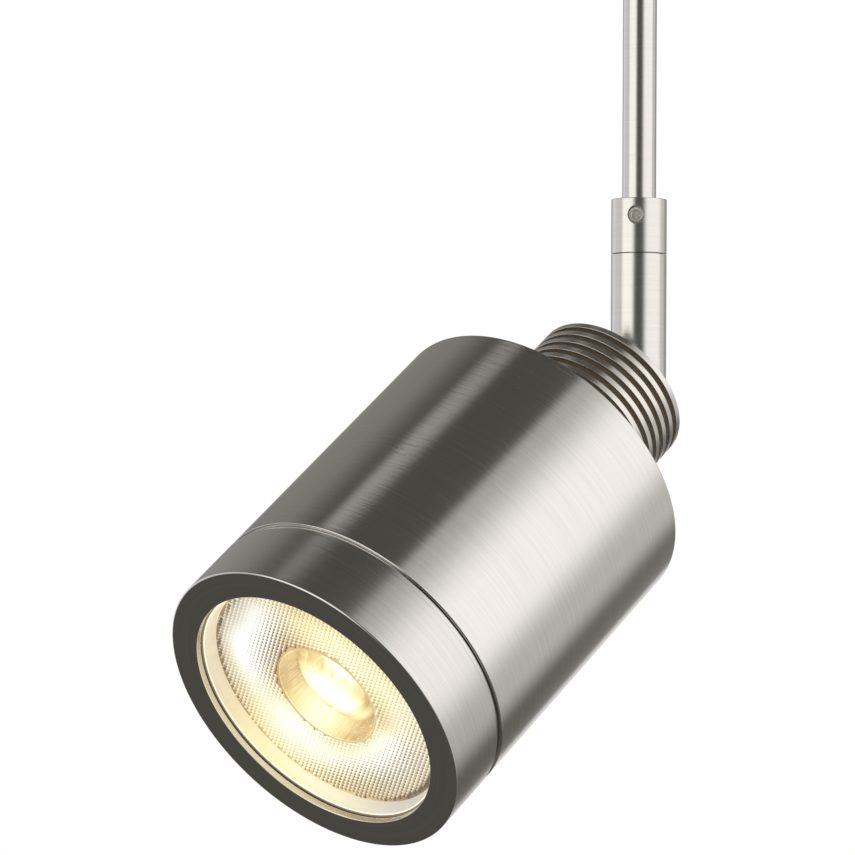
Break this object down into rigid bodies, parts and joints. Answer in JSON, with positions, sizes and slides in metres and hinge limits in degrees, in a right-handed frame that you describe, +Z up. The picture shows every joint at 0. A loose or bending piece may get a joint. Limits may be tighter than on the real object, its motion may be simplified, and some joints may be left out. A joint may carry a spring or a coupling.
{
  "type": "track lighting fixture",
  "caption": "Brushed nickel cylinder spotlight with a finned neck, a swivelling and tilting slim stem, and a twist-lock track adapter; a screw-on bezel holds the lens.",
  "frame": {"origin": "centre of the adapter's top face, which bears on the underside of the track, on the stem's axis", "axes": "+Z up into the track along the stem, +X along the track from the lock to the key, and the head points to -Y and down"},
  "size_m": [0.084, 0.119, 0.2208],
  "materials": {
    "nickel_on_aluminium": "brushed satin nickel, turned",
    "nickel_on_steel": "brushed satin nickel, drawn and turned",
    "adapter_shell": "satin nickel paint on die-cast zinc",
    "black_plastic": "moulded, fine texture",
    "white_plastic": "moulded",
    "bare_aluminium": "machined",
    "screw_steel": "zinc plated",
    "dark_steel": "oiled steel",
    "brass": "bright",
    "clear_lens": "clear acrylic with a fine pillow texture on its front",
    "silicone": "soft, matt",
    "circuit_board": "green solder mask",
    "white_board": "white solder mask on aluminium",
    "phosphor": "yellow phosphor, lit warm white",
    "lead_black": "insulation",
    "lead_white": "insulation",
    "lead_red": "insulation",
    "capacitor_sleeve": "shrunk sleeve",
    "copper_winding": "enamelled copper under clear tape",
    "terminal_green": "moulded"
  },
  "bodies": {
    "adapter": {"adapter_housing": "adapter_shell", "adapter_cover": "black_plastic", "cover_screws": "screw_steel", "ground_strip": "brass", "terminal_live": "brass", "terminal_neutral": "brass", "terminal_screws": "screw_steel", "stem_ferrule": "nickel_on_steel", "stem_nut": "brass", "stem_tube": "nickel_on_steel", "lead_live": "lead_black", "lead_neutral": "lead_white", "coupling_sleeve": "nickel_on_steel", "set_screw": "screw_steel", "swivel_stud": "dark_steel", "swivel_washer": "screw_steel"},
    "lock": {"lock_turret": "black_plastic", "lock_lever": "black_plastic", "turret_screw": "screw_steel", "contact_live": "brass", "contact_neutral": "brass"},
    "barrel": {"swivel_barrel": "nickel_on_steel", "stop_pin": "dark_steel", "tilt_screw": "dark_steel", "barrel_leads": "lead_black"},
    "head": {"tilt_lug": "nickel_on_steel", "friction_washers": "white_plastic", "finned_neck": "nickel_on_aluminium", "neck_screws": "dark_steel", "neck_leads": "lead_black", "wire_grommet": "silicone", "housing_tube": "nickel_on_aluminium", "heat_spreader": "bare_aluminium", "driver_board": "circuit_board", "standoffs": "brass", "board_screws": "screw_steel", "driver_capacitor": "capacitor_sleeve", "driver_coil": "copper_winding", "driver_chip": "black_plastic", "input_terminal": "terminal_green", "led_leads": "lead_red", "led_board": "white_board", "led_screws": "screw_steel", "led_emitter": "phosphor", "optic_holder": "black_plastic", "holder_screws": "screw_steel", "optic_lens": "clear_lens"},
    "bezel_seal": {"bezel_gasket": "silicone"},
    "bezel": {"bezel_ring": "nickel_on_aluminium"}
  },
  "joints": [
    {"name": "lock_turn", "type": "hinge", "parent": "adapter", "child": "lock", "pos_m": [-0.022, 0, 0], "axis": [0, 0, 1], "range_deg": [0, 90]},
    {"name": "head_swivel", "type": "hinge", "parent": "adapter", "child": "barrel", "pos_m": [0, 0, -0.10645], "axis": [0, 0, 1], "range_deg": [-165, 165]},
    {"name": "head_tilt", "type": "hinge", "parent": "barrel", "child": "head", "pos_m": [0, 0, -0.12625], "axis": [-1, 0, 0], "range_deg": [-52.3, 37.7]},
    {"name": "bezel_slide", "type": "slide", "parent": "head", "child": "bezel_seal", "axis": [0, -0.7912, -0.6115], "range_m": [0, 0.004]},
    {"name": "bezel_turn", "type": "hinge", "parent": "bezel_seal", "child": "bezel", "pos_m": [0, -0.07263, -0.18239], "axis": [0, -0.7912, -0.6115], "range_deg": [0, 1440]}
  ],
  "couplings": [
    {"joint": "bezel_turn", "follows": "bezel_slide", "rad_per_m": 6283.2}
  ]
}
